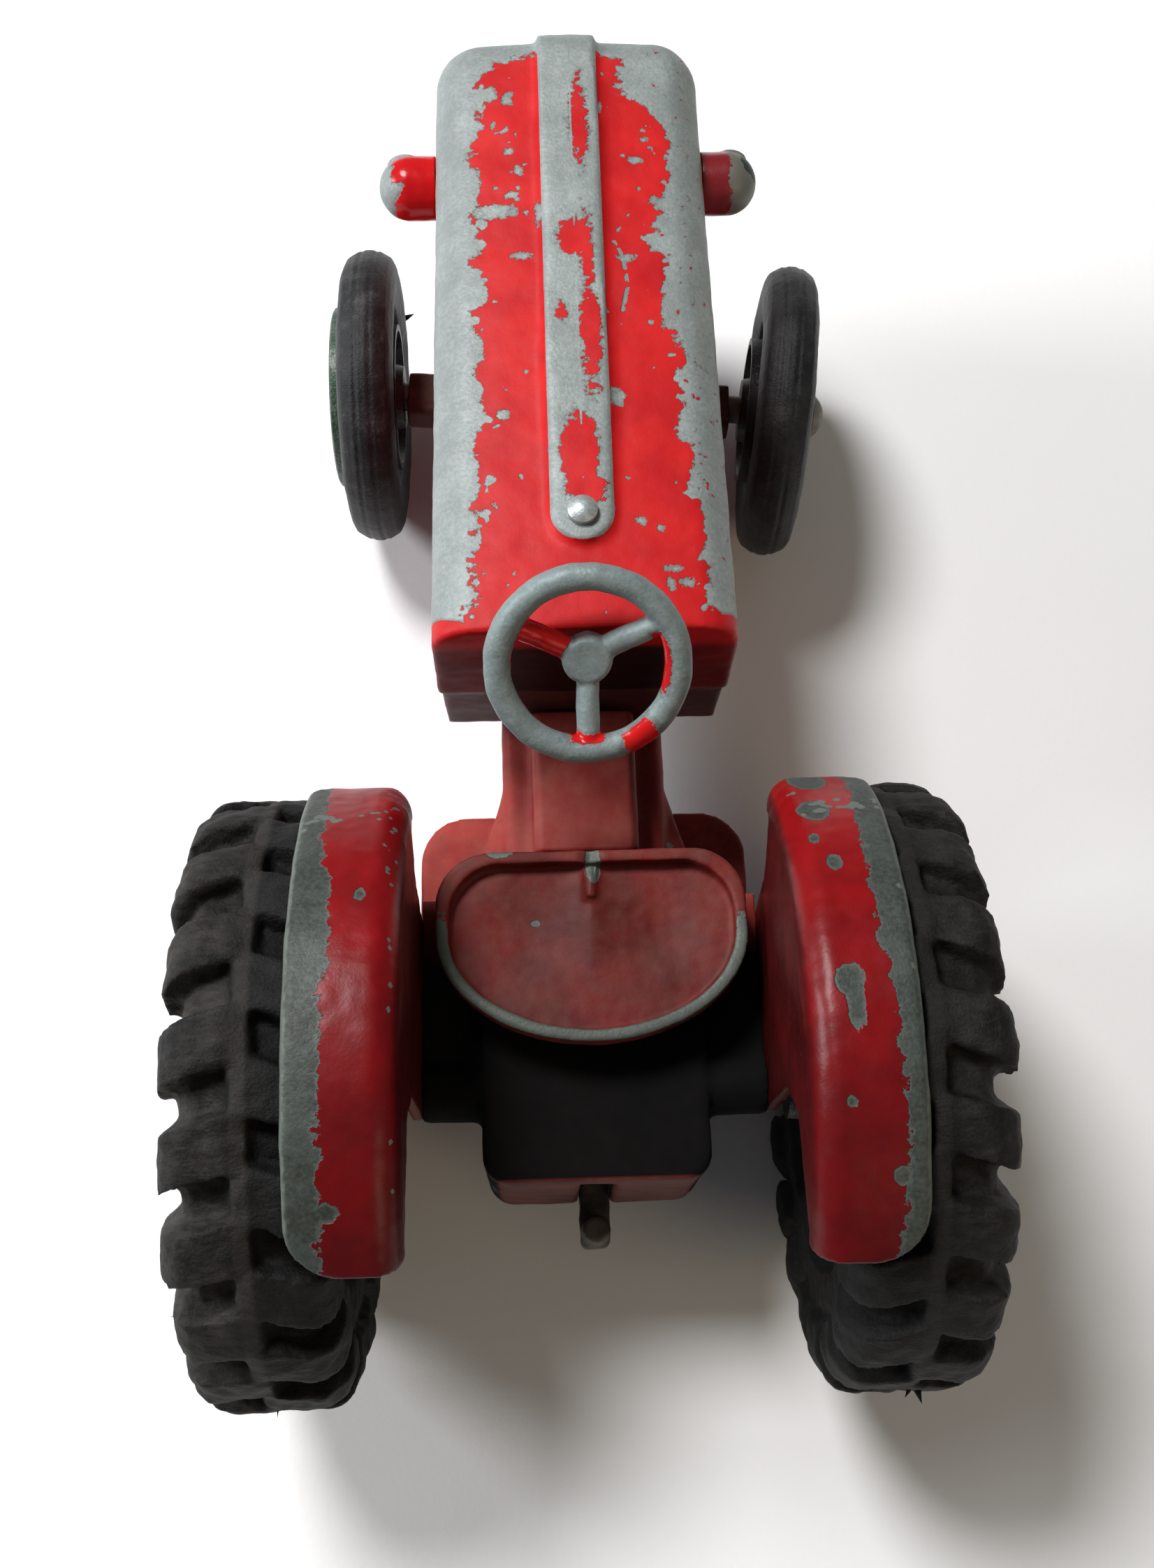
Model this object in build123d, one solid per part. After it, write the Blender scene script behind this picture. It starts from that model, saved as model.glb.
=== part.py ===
from build123d import *
import os
from math import cos, radians, sin, sqrt

# A die-cast toy tractor. Millimetres; +Y is forward, +X is the driver's right, +Z is up.
# The functions work with y = 0 at the rear axle and z = 0 on the ground; export moves the
# whole tractor back so that its origin is the bottom centre of its box.

# Wheels and axles
REAR_RADIUS = 16.0
REAR_CARCASS_RADIUS = 14.95
REAR_RIM_RADIUS = 8.7
REAR_TYRE_HALF_WIDTH = 4.05
REAR_TRACK_HALF = 15.9
REAR_FLOAT = -0.65
REAR_ROD_LEFT_END = -20.5
REAR_ROD_RIGHT_END = 19.75
LUGS_PER_SIDE = 20
LUG_WIDTH = 2.7
LUG_SWEEP = 1.1
FRONT_RADIUS = 9.4
FRONT_DRUM_RADIUS = 4.7
FRONT_TYRE_HALF_WIDTH = 1.75
FRONT_FLANGE_RADIUS = 5.8
WHEELBASE = 46.7
REST_STEER_DEG = -3.7
TOE_OUT_DEG = 3.3
TOE_PIVOT_X = 8.5
ROD_RADIUS = 0.9
RUNNING_CLEARANCE = 0.05
FIXED_CLEARANCE = 0.01

# Front axle, measured from the kingpin before the rest steer is applied
FRONT_HUB_LEFT_FACE = -15.3
FRONT_HUB_RIGHT_FACE = 15.75
FRONT_TYRE_LEFT_X = -12.85
FRONT_TYRE_RIGHT_X = 13.8
FRONT_ROD_LEFT_END = -15.3
FRONT_ROD_RIGHT_END = 16.95
FRONT_PIN_ROOT = 5.5
BEAM_HALF_LENGTH = 10.6
BEAM_DEPTH = 3.2
BEAM_SET_BACK = 0.35
BEAM_HEIGHT = 2.3

# Bonnet
BONNET_REAR_Y = 21.7
BONNET_NOSE_Y = 60.95
BONNET_HALF_REAR = 8.15
BONNET_HALF_FRONT = 7.75
BONNET_TOP_REAR = 28.4
BONNET_TOP_FRONT = 27.8
BONNET_CROWN_RADIUS = 62.0
BONNET_SKIRT_Z = 19.7
BONNET_BOTTOM_Z = 14.3
BONNET_NOSE_CORNER = 2.8
BONNET_SHOULDER = 2.4
BONNET_WALL = 1.0
STRIP_WIDTH = 3.35
STRIP_HEIGHT = 0.45
STRIP_REAR_Y = 26.6
CAP_Y = 28.2
CAP_RADIUS = 0.8
LAMP_Y = 53.1
LAMP_Z = 23.2
LAMP_RADIUS = 1.85
LAMP_REACH = 11.35

# Chassis
TUNNEL_HALF = 4.75
TUNNEL_TOP_Z = 14.3
CHASSIS_BOTTOM_Z = 6.2
COVER_HALF = 2.95
COVER_TOP_Z = 17.0
COVER_REAR_Y = 13.1
FOOTPLATE_HALF = 9.85
FOOTPLATE_FRONT_Y = 17.8
FOOTPLATE_TOP_Z = 9.1
FOOTPLATE_CORNER = 2.8
HOUSING_HALF = 6.05
HOUSING_REAR_Y = -5.2
HOUSING_TOP_Z = 17.9
HOUSING_NOTCH_TOP_Z = 16.5
HOOK_PEG_Y = -7.0
HOOK_PEG_RADIUS = 0.8
DECK_HALF = 9.25
DECK_FRONT_Y = 10.5
DECK_REAR_Y = -1.3
DECK_TOP_Z = 16.8
DECK_BOTTOM_Z = 14.9
TRUMPET_RADIUS = 1.65
CAVITY_HALF = 3.6
CAVITY_TOP_Z = 12.6
CAVITY_REAR_Y = -3.6
CAVITY_FRONT_Y = 38.0
ENGINE_FRONT_Y = 41.0
BOLSTER_FRONT_Y = 58.8
BOLSTER_BOTTOM_Z = 11.3
BOLSTER_TOP_Z = 16.0
PLATE_THICKNESS = 0.8
PLATE_RIVET_YS = (4.0, 32.0)
BONNET_POST_YS = (26.6, 53.0)
RIVET_HOLE_RADIUS = 0.72
KINGPIN_RADIUS = 0.9

# Fenders
FENDER_RADIUS = 16.85
FENDER_THICKNESS = 0.62
FENDER_INNER_X = 9.25
FENDER_OUTER_X = 14.6
FENDER_SHOULDER = 1.5
FENDER_FRONT_DEG = 28.7
FENDER_REAR_DEG = 128.0
FENDER_END_LEAN = 10.0
FENDER_RIVET_YS = (2.6, 8.2)
FENDER_RIVET_Z = 15.85
FENDER_RIVET_RADIUS = 0.5

# Seat and steering wheel
SEAT_HALF = 8.25
SEAT_FRONT_Y = 11.9
SEAT_REAR_Y = 1.6
SEAT_RIM_Z = 21.3
SEAT_THICKNESS = 2.0
SEAT_WAIST_Y = 7.4
WHEEL_TILT_DEG = 42.0
WHEEL_RING_RADIUS = 4.65
WHEEL_TUBE_RADIUS = 0.72
WHEEL_CENTRE_Y = 19.5
WHEEL_CENTRE_Z = 28.7
WHEEL_DISH = 1.2
NAVE_RADIUS = 1.3
SPOKE_RADIUS = 0.62
COLUMN_RADIUS = 0.75

ORIGIN_Y = (BONNET_NOSE_Y + STRIP_HEIGHT - REAR_RADIUS) / 2


def box(x0, x1, y0, y1, z0, z1):
    """A box given by its limits along each axis."""
    centre = Pos((x0 + x1) / 2, (y0 + y1) / 2, (z0 + z1) / 2)
    return centre * Box(x1 - x0, y1 - y0, z1 - z0)


def rod_x(radius, x0, x1, y=0.0, z=0.0):
    """A round bar along X."""
    return Pos((x0 + x1) / 2, y, z) * Rot(0, 90, 0) * Cylinder(radius, x1 - x0)


def rod_z(radius, z0, z1, x=0.0, y=0.0):
    """A round bar along Z."""
    return Pos(x, y, (z0 + z1) / 2) * Cylinder(radius, z1 - z0)


def turned(profile):
    """A solid of revolution about X from points given as (x, radius)."""
    face = make_face(Polyline(*[(x, r, 0) for x, r in profile], close=True))
    return revolve(face, Axis.X, 360)


def dome_arc(x, head, dome):
    """Profile of a spherical cap whose tip is at x; a negative dome points backwards."""
    ball = (head**2 + dome**2) / (2 * abs(dome))
    lift = sqrt((2 * ball - abs(dome)) / (2 * ball))
    way = dome / abs(dome)
    middle = (x + way * ball * (1 - lift), ball * sqrt(1 - lift**2), 0)
    return ThreePointArc((x, 0, 0), middle, (x + dome, head, 0))


def headed_rod(radius, x0, x1, head, dome):
    """A bar along X whose ends are peened to domes of a given radius and depth."""
    left = dome_arc(x0, head, dome)
    right = dome_arc(x1, head, -dome)
    neck = Polyline(
        (x0 + dome, head, 0), (x0 + dome, radius, 0), (x1 - dome, radius, 0), (x1 - dome, head, 0)
    )
    face = make_face([left, neck, right, Line((x1, 0, 0), (x0, 0, 0))])
    return revolve(face, Axis.X, 360)


def headed_pin(radius, x0, x1, head, dome):
    """A bar along X, square at x0 and peened to a dome at x1."""
    neck = Polyline((x0, 0, 0), (x0, radius, 0), (x1 - dome, radius, 0), (x1 - dome, head, 0))
    face = make_face([neck, dome_arc(x1, head, -dome), Line((x1, 0, 0), (x0, 0, 0))])
    return revolve(face, Axis.X, 360)


def pill(points, z0, z1):
    """A vertical prism over a plan outline."""
    outline = make_face(Polyline(*[(x, y, z0) for x, y in points], close=True))
    return extrude(outline, z1 - z0, dir=(0, 0, 1))


def steered(shape):
    """Places a front axle piece, drawn about the kingpin, at its rest angle."""
    return Pos(0, WHEELBASE, 0) * Rot(0, 0, REST_STEER_DEG) * shape


def toed(shape, side):
    """Swings a stub or a wheel, drawn about the kingpin, outward about the beam's end."""
    pivot = side * TOE_PIVOT_X
    return Pos(pivot, 0, 0) * Rot(0, 0, -side * TOE_OUT_DEG) * Pos(-pivot, 0, 0) * shape


# ---------------------------------------------------------------- rear wheels


def rear_carcass():
    """Tyre body: bore, beads, sidewalls, tread drum and the ridge round its middle."""
    w = REAR_TYRE_HALF_WIDTH
    half = [
        (0.35, REAR_RADIUS - 0.1),
        (0.6, REAR_CARCASS_RADIUS),
        (w - 1.7, REAR_CARCASS_RADIUS - 0.2),
        (w - 1.05, REAR_CARCASS_RADIUS - 0.9),
        (w - 0.85, REAR_CARCASS_RADIUS - 2.0),
        (w - 0.55, 11.5),
        (w - 0.6, 9.95),
        (w - 1.25, 9.65),
        (w - 1.25, REAR_RIM_RADIUS + FIXED_CLEARANCE),
    ]
    mirrored = [(-x, r) for x, r in reversed(half)]
    return turned(half + mirrored)


def lug_envelope():
    """The rounded outer form that the tread bars are cut to."""
    w = REAR_TYRE_HALF_WIDTH
    half = [
        (w - 1.7, REAR_RADIUS),
        (w - 1.0, REAR_RADIUS - 0.22),
        (w - 0.45, REAR_RADIUS - 0.75),
        (w - 0.1, REAR_RADIUS - 1.5),
        (w, REAR_RADIUS - 2.4),
        (w - 0.12, REAR_RADIUS - 3.5),
        (w - 0.5, REAR_RADIUS - 3.7),
    ]
    mirrored = [(-x, r) for x, r in reversed(half)]
    return turned(half + mirrored)


def tread_bar(side):
    """One angled bar on one half of the tread, at the top of the wheel."""
    inner = 0.2
    outer = REAR_TYRE_HALF_WIDTH + 0.2
    lead = LUG_SWEEP / 2
    half = LUG_WIDTH / 2
    corners = [
        (side * inner, lead - half),
        (side * outer, -lead - half - 0.25),
        (side * outer, -lead + half - 0.45),
        (side * (outer - 1.0), -lead + half + 0.3),
        (side * inner, lead + half),
    ]
    return pill(corners, REAR_RADIUS - 4.2, REAR_RADIUS + 0.5) & lug_envelope()


def rear_tyre():
    """Rubber tyre with bars on both halves, staggered by half a pitch."""
    pitch = 360 / LUGS_PER_SIDE
    bars = []
    for side in (-1, 1):
        bar = tread_bar(side)
        stagger = 0 if side < 0 else pitch / 2
        for k in range(LUGS_PER_SIDE):
            bars.append(Rot(k * pitch + stagger, 0, 0) * bar)
    return rear_carcass().fuse(*bars)


def rear_hub(side):
    """Cast hub: rim, dished disc, nave and a ring of nut heads on the outside."""
    half = [
        (-4.9, ROD_RADIUS + RUNNING_CLEARANCE),
        (-4.9, 1.9),
        (-0.6, 2.3),
        (-0.6, 7.4),
        (-2.7, 7.8),
        (-2.7, REAR_RIM_RADIUS),
        (2.82, REAR_RIM_RADIUS),
        (2.82, 9.55),
        (3.4, 9.45),
        (3.4, 8.6),
        (0.9, 7.6),
        (0.6, 4.6),
        (1.3, 4.1),
        (1.5, 2.3),
        (3.0, 2.0),
        (3.0, ROD_RADIUS + RUNNING_CLEARANCE),
    ]
    hub = turned(half)
    for k in range(6):
        nut = rod_x(0.5, 1.2, 1.9, 0, 3.3)
        hub = hub + Rot(60 * k, 0, 0) * nut
    if side < 0:
        hub = mirror(hub, Plane.YZ)
    return hub


def rear_axle_rod():
    """Steel rod through the housing with a domed head outside each hub."""
    rod = headed_rod(ROD_RADIUS, REAR_ROD_LEFT_END, REAR_ROD_RIGHT_END, 1.35, 0.9)
    return Pos(0, 0, REAR_RADIUS) * rod


def at_rear_wheel(shape, side):
    """Places a rear wheel piece, drawn about the origin, on its side of the axle."""
    return Pos(side * REAR_TRACK_HALF + REAR_FLOAT, 0, REAR_RADIUS) * shape


# --------------------------------------------------------------- front wheels


def front_tyre():
    """Narrow ribbed tyre with a recess each side where the hub flange nests."""
    w = FRONT_TYRE_HALF_WIDTH
    r = FRONT_RADIUS
    bore = FRONT_DRUM_RADIUS + FIXED_CLEARANCE
    half = [
        (0.0, r),
        (0.28, r),
        (0.38, r - 0.12),
        (0.55, r - 0.14),
        (0.65, r - 0.08),
        (0.85, r - 0.2),
        (w - 0.38, r - 0.5),
        (w - 0.15, r - 0.95),
        (w, r - 1.7),
        (w, r - 2.4),
        (w - 0.2, r - 3.1),
        (w - 0.35, FRONT_FLANGE_RADIUS + 0.08),
        (w - 0.7, FRONT_FLANGE_RADIUS + 0.06),
        (w - 0.7, bore),
    ]
    mirrored = [(-x, radius) for x, radius in reversed(half[1:])]
    return turned(half + mirrored)


def front_hub(side):
    """Cast hub, face at x = 0 and drum behind it, with a dish for the axle head."""
    bore = ROD_RADIUS + RUNNING_CLEARANCE
    profile = [
        (-4.4, bore),
        (-4.4, 2.0),
        (-3.6, 2.2),
        (-3.6, 4.2),
        (-4.1, 4.3),
        (-4.1, FRONT_DRUM_RADIUS),
        (-0.6, FRONT_DRUM_RADIUS),
        (-0.6, FRONT_FLANGE_RADIUS),
        (-0.1, FRONT_FLANGE_RADIUS),
        (0.0, FRONT_FLANGE_RADIUS - 0.15),
        (0.0, 4.6),
        (-0.9, 4.0),
        (-0.9, bore),
    ]
    hub = turned(profile)
    for k in range(5):
        nut = rod_x(0.38, -1.2, -0.55, 0, 2.7)
        hub = hub + Rot(72 * k, 0, 0) * nut
    if side < 0:
        hub = mirror(hub, Plane.YZ)
    return hub


def front_axle_pin(side):
    """Steel stub pressed in the beam's end, with a domed head outside the hub."""
    end = FRONT_ROD_RIGHT_END if side > 0 else -FRONT_ROD_LEFT_END
    pin = headed_pin(ROD_RADIUS, FRONT_PIN_ROOT, end, 1.4, 0.75)
    if side < 0:
        pin = mirror(pin, Plane.YZ)
    return steered(toed(Pos(0, 0, FRONT_RADIUS) * pin, side))


def front_beam():
    """Cast axle beam with an eye for the kingpin and a bore for the rod."""
    z = FRONT_RADIUS
    h = BEAM_HEIGHT / 2
    bar = Pos(0, -BEAM_SET_BACK, z) * Box(2 * BEAM_HALF_LENGTH, BEAM_DEPTH, BEAM_HEIGHT)
    bar = fillet(bar.edges().filter_by(Axis.X), 0.5)
    eye = rod_z(2.3, z - h, z + h)
    beam = bar + eye
    for side in (-1, 1):
        x0, x1 = sorted((side * FRONT_PIN_ROOT, side * 12))
        beam = beam - toed(rod_x(ROD_RADIUS + FIXED_CLEARANCE, x0, x1, 0, z), side)
    return steered(beam - rod_z(KINGPIN_RADIUS + RUNNING_CLEARANCE, z - 3, z + 3))


# ------------------------------------------------------------------- bonnet


def bonnet_plan(grow=0.0):
    """Plan outline of the bonnet, straight at the back and rounded at the nose."""
    rear = BONNET_HALF_REAR + grow
    front = BONNET_HALF_FRONT + grow
    nose = BONNET_NOSE_Y + grow
    back = BONNET_REAR_Y - min(grow, 0)
    points = [(-rear, back), (rear, back), (front, nose), (-front, nose)]
    face = make_face(Polyline(*points, close=True))
    corners = [v for v in face.vertices() if v.Y > WHEELBASE]
    return fillet(corners, BONNET_NOSE_CORNER + grow)


def bonnet_block(grow, bottom):
    """The bonnet's full outer form, crowned on top with rounded shoulders and nose."""
    height = BONNET_TOP_REAR + 2 - bottom
    block = Pos(0, 0, bottom) * extrude(bonnet_plan(grow), height)
    length = BONNET_NOSE_Y - BONNET_REAR_Y
    slope = (BONNET_TOP_REAR - BONNET_TOP_FRONT) / length
    middle = (BONNET_TOP_REAR + BONNET_TOP_FRONT) / 2 + grow - BONNET_CROWN_RADIUS
    barrel = Rot(90, 0, 0) * Cylinder(BONNET_CROWN_RADIUS, 2 * length)
    tilt = Rot(-slope * 57.3, 0, 0)
    block = block & (Pos(0, (BONNET_NOSE_Y + BONNET_REAR_Y) / 2, middle) * tilt * barrel)
    high = BONNET_TOP_FRONT - 1.2 + min(grow, 0)
    rim = [
        e
        for e in block.edges()
        if e.center().Z > high and e.center().Y > BONNET_REAR_Y + 1
    ]
    return fillet(rim, BONNET_SHOULDER + grow)


def bonnet():
    """Bonnet shell with raised strip, grille slots, tapered lower skirt and bosses."""
    upper = bonnet_block(0.0, BONNET_SKIRT_Z)
    depth = BONNET_SKIRT_Z - BONNET_BOTTOM_Z
    skirt = extrude(bonnet_plan(-0.12), -depth, taper=2.0)
    shell = upper + Pos(0, 0, BONNET_SKIRT_Z) * skirt
    hollow = bonnet_block(-BONNET_WALL, BONNET_BOTTOM_Z - 1)
    shell = shell - hollow
    half = STRIP_WIDTH / 2
    tongue = box(-half, half, STRIP_REAR_Y + half, BONNET_NOSE_Y + 2, 17, 40)
    tongue = tongue + rod_z(half, 17, 40, 0, STRIP_REAR_Y + half)
    strip = (bonnet_block(STRIP_HEIGHT, 17) & tongue) - bonnet_block(-0.5, 10)
    shell = shell + strip
    for side in (-1, 1):
        for k in range(7):
            z = 17.4 + 1.15 * k
            slot = box(2.3, 5.3, BONNET_NOSE_Y - 0.45, BONNET_NOSE_Y + 1, z, z + 0.6)
            shell = shell - (slot if side > 0 else mirror(slot, Plane.YZ))
    for y in BONNET_POST_YS:
        post = rod_z(1.7, BOLSTER_TOP_Z, BONNET_TOP_FRONT - 0.2, 0, y)
        shell = shell + post - rod_z(0.7, BOLSTER_TOP_Z - 1, BOLSTER_TOP_Z + 4, 0, y)
    for side in (-1, 1):
        shell = shell - rod_x(0.82, side * 9 - 2.6, side * 9 + 2.6, LAMP_Y, LAMP_Z)
    shell = shell - column_axis(COLUMN_RADIUS + RUNNING_CLEARANCE, -1.5, 7.5)
    return shell - rod_z(0.46, 25, 30, 0, CAP_Y)


def filler_cap():
    """Domed cap on the rear end of the strip, with a spigot pressed in the bonnet."""
    top = BONNET_TOP_REAR + STRIP_HEIGHT
    dome = Pos(0, CAP_Y, top - 0.55) * Sphere(1.15)
    dome = dome & rod_z(CAP_RADIUS, top + 0.01, top + 2, 0, CAP_Y)
    return dome + rod_z(0.45, 25.6, top + 0.1, 0, CAP_Y)


def headlamp(side):
    """Thumb-shaped lamp pod with a flat lens seat in front and a spigot inside."""
    root = BONNET_HALF_FRONT + 0.12
    tip = LAMP_REACH - LAMP_RADIUS
    pod = rod_x(LAMP_RADIUS, root, tip) + Pos(tip, 0, 0) * Sphere(LAMP_RADIUS)
    pod = pod & box(root, LAMP_REACH + 1, -2, 1.55, -3, 3)
    lens = Pos(root + 1.9, 1.55, 0) * Rot(90, 0, 0) * Torus(0.95, 0.17)
    pod = pod + (lens & box(0, 15, 1.5, 3, -3, 3)) + rod_x(0.8, 6.6, root + 0.1)
    pod = Pos(0, LAMP_Y, LAMP_Z) * pod
    return pod if side > 0 else mirror(pod, Plane.YZ)


# ------------------------------------------------------------------- chassis


def engine_and_tunnel():
    """Gearbox tunnel with its raised cover, engine block and the bolster under the nose."""
    t = TUNNEL_HALF
    bottom = CHASSIS_BOTTOM_Z
    spine = box(-t, t, 8, ENGINE_FRONT_Y, bottom, TUNNEL_TOP_Z)
    spine = fillet(spine.edges().filter_by(Axis.Y), 0.7)
    block = spine + box(-t, t, BONNET_REAR_Y + 1.1, ENGINE_FRONT_Y, 13, BOLSTER_TOP_Z)
    bolster = box(-t, t, 38, BOLSTER_FRONT_Y, BOLSTER_BOTTOM_Z, BOLSTER_TOP_Z)
    block = block + fillet(bolster.edges().filter_by(Axis.Z), 0.8)
    c = COVER_HALF
    cover = box(-c, c, COVER_REAR_Y, BONNET_REAR_Y - 0.02, 12, COVER_TOP_Z)
    top_edges = cover.edges().filter_by(Axis.Y).group_by(Axis.Z)[-1]
    block = block + fillet(top_edges, 0.45)
    pad_bottom = FRONT_RADIUS + BEAM_HEIGHT / 2 + RUNNING_CLEARANCE
    return block + rod_z(2.3, pad_bottom, 13, 0, WHEELBASE)


def footplates():
    """One plate for both feet and the flared sides where the tunnel meets the housing."""
    t = TUNNEL_HALF
    h = HOUSING_HALF
    flare = [(-t, 18.0), (t, 18.0), (h, 13.6), (h, 9.0), (-h, 9.0), (-h, 13.6)]
    top = FOOTPLATE_TOP_Z
    plate = box(-FOOTPLATE_HALF, FOOTPLATE_HALF, 6.5, FOOTPLATE_FRONT_Y, top - 1.2, top)
    front_corners = plate.edges().filter_by(Axis.Z).group_by(Axis.Y)[-1]
    return fillet(front_corners, FOOTPLATE_CORNER) + pill(flare, CHASSIS_BOTTOM_Z, 13.4)


def rear_end():
    """Rear housing, the deck that carries seat and fenders, and the axle trumpets."""
    h = HOUSING_HALF
    housing = box(-h, h, HOUSING_REAR_Y, DECK_FRONT_Y, CHASSIS_BOTTOM_Z, HOUSING_TOP_Z)
    housing = fillet(housing.edges().filter_by(Axis.Z).group_by(Axis.Y)[0], 1.5)
    housing = fillet(housing.edges().group_by(Axis.Z)[-1].group_by(Axis.Y)[0], 0.35)
    d = DECK_HALF
    deck = box(-d, d, DECK_REAR_Y, DECK_FRONT_Y, DECK_BOTTOM_Z, DECK_TOP_Z)
    return housing + deck + rod_x(TRUMPET_RADIUS, -d, d, 0, REAR_RADIUS)


def chassis_holes():
    """Bores for axle, kingpin, rivets and seat foot, and the slot for the tow hook."""
    bottom = CHASSIS_BOTTOM_Z
    seat_y = (SEAT_FRONT_Y + SEAT_REAR_Y) / 2
    holes = [rod_z(RIVET_HOLE_RADIUS, bottom - 1, bottom + 5, 0, y) for y in PLATE_RIVET_YS]
    holes += [rod_z(RIVET_HOLE_RADIUS, 5, 20, 0, y) for y in BONNET_POST_YS]
    holes.append(rod_x(ROD_RADIUS + FIXED_CLEARANCE, -12, 12, 0, REAR_RADIUS))
    holes.append(rod_z(KINGPIN_RADIUS + FIXED_CLEARANCE, 9, 20, 0, WHEELBASE))
    holes.append(box(-2.52, 2.52, seat_y - 2.52, seat_y + 2.52, HOUSING_TOP_Z - 1, 20))
    slot_top = bottom + PLATE_THICKNESS + 0.81
    holes.append(box(-0.9, 0.9, HOUSING_REAR_Y - 1, -3, bottom - 1, slot_top))
    notch = box(-0.9, 0.9, HOUSING_REAR_Y - 1, HOUSING_REAR_Y + 0.9, bottom, HOUSING_NOTCH_TOP_Z)
    holes.append(notch)
    for side in (-1, 1):
        for y in FENDER_RIVET_YS:
            x0, x1 = sorted((side * 7.0, side * 9.4))
            holes.append(rod_x(FENDER_RIVET_RADIUS + 0.02, x0, x1, y, FENDER_RIVET_Z))
    return holes


def chassis():
    """One casting: engine, gearbox tunnel, footplates, rear housing and axle deck."""
    block = engine_and_tunnel() + footplates() + rear_end()
    c = CAVITY_HALF
    bottom = CHASSIS_BOTTOM_Z
    block = block - box(-c, c, CAVITY_REAR_Y, CAVITY_FRONT_Y, bottom - 1, CAVITY_TOP_Z)
    for y in PLATE_RIVET_YS:
        block = block + rod_z(1.5, bottom + PLATE_THICKNESS, CAVITY_TOP_Z + 0.5, 0, y)
    for hole in chassis_holes():
        block = block - hole
    return block


def base_plate():
    """Pressed plate that closes the underside."""
    bottom = CHASSIS_BOTTOM_Z
    c = CAVITY_HALF - 0.03
    y0 = CAVITY_REAR_Y + 0.03
    y1 = CAVITY_FRONT_Y - 0.03
    plate = box(-c, c, y0, y1, bottom, bottom + PLATE_THICKNESS)
    plate = fillet(plate.edges().filter_by(Axis.Z), 0.5)
    for y in PLATE_RIVET_YS:
        plate = plate - rod_z(RIVET_HOLE_RADIUS, 0, 20, 0, y)
    return plate


def rivet(y, z_head, z_end, shank, head):
    """A rivet that points up, with its domed head at the bottom."""
    dome = Pos(0, y, z_head + 0.15) * Sphere(head)
    dome = dome & box(-3, 3, y - 3, y + 3, z_head - 0.55, z_head)
    return dome + rod_z(shank, z_head - 0.1, z_end, 0, y)


def base_rivets():
    """Two rivets that hold the base plate."""
    bottom = CHASSIS_BOTTOM_Z
    return [rivet(y, bottom, bottom + 4.8, 0.7, 1.15) for y in PLATE_RIVET_YS]


def bonnet_rivets():
    """Two rivets that hold the bonnet's posts down on the chassis."""
    rear_y, front_y = BONNET_POST_YS
    rear = rivet(rear_y, CAVITY_TOP_Z, BOLSTER_TOP_Z + 3.8, 0.69, 1.15)
    front = rivet(front_y, BOLSTER_BOTTOM_Z, BOLSTER_TOP_Z + 3.8, 0.69, 1.15)
    return [rear, front]


def kingpin():
    """Rivet on which the front beam swings, headed below the beam."""
    low = FRONT_RADIUS - BEAM_HEIGHT / 2
    head = rod_z(1.9, low - 0.95, low - 0.42, 0, WHEELBASE)
    head = fillet(head.edges().group_by(Axis.Z)[0], 0.35)
    return head + rod_z(KINGPIN_RADIUS, low - 0.5, 15.5, 0, WHEELBASE)


def kingpin_washer():
    """Loose washer between the kingpin's head and the beam."""
    low = FRONT_RADIUS - BEAM_HEIGHT / 2
    ring = rod_z(2.1, low - 0.4, low - 0.06, 0, WHEELBASE)
    return ring - rod_z(KINGPIN_RADIUS + RUNNING_CLEARANCE, low - 1, low + 1, 0, WHEELBASE)


def tow_hook():
    """Flat tongue under the housing with an upright round peg at its end."""
    z0 = CHASSIS_BOTTOM_Z + PLATE_THICKNESS
    tongue = box(-0.87, 0.87, HOOK_PEG_Y - 0.87, -3.1, z0, z0 + 0.8)
    tongue = fillet(tongue.edges().filter_by(Axis.Z).group_by(Axis.Y)[0], 0.5)
    peg = rod_z(HOOK_PEG_RADIUS, z0 + 0.1, z0 + 3.6, 0, HOOK_PEG_Y)
    peg = fillet(peg.edges().group_by(Axis.Z)[-1], 0.25)
    return tongue + peg


# ------------------------------------------------------------------- fenders


def arc_point(radius, degrees):
    """A point on a circle round the rear axle, as (y, z)."""
    a = radians(degrees)
    return radius * cos(a), REAR_RADIUS + radius * sin(a)


def fender_skirt():
    """Inner side plate: hangs from the shell and stands on the deck's edge."""
    top = FENDER_RADIUS - FENDER_SHOULDER
    points = []
    for step in range(19):
        points.append(arc_point(top, FENDER_FRONT_DEG + 6 + step * 5.0))
    last = arc_point(top, FENDER_REAR_DEG - 2)
    points.append(last)
    points.append((-3.2, 27.3))
    points.append((DECK_REAR_Y - 0.2, 24.0))
    points.append((DECK_REAR_Y, DECK_BOTTOM_Z))
    points.append((DECK_FRONT_Y - 1.2, DECK_BOTTOM_Z))
    points.append((DECK_FRONT_Y - 0.2, 21.2))
    x = FENDER_INNER_X
    face = make_face(Polyline(*[(x, y, z) for y, z in points], close=True))
    return extrude(face, FENDER_THICKNESS + 0.03, dir=(1, 0, 0))


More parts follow.
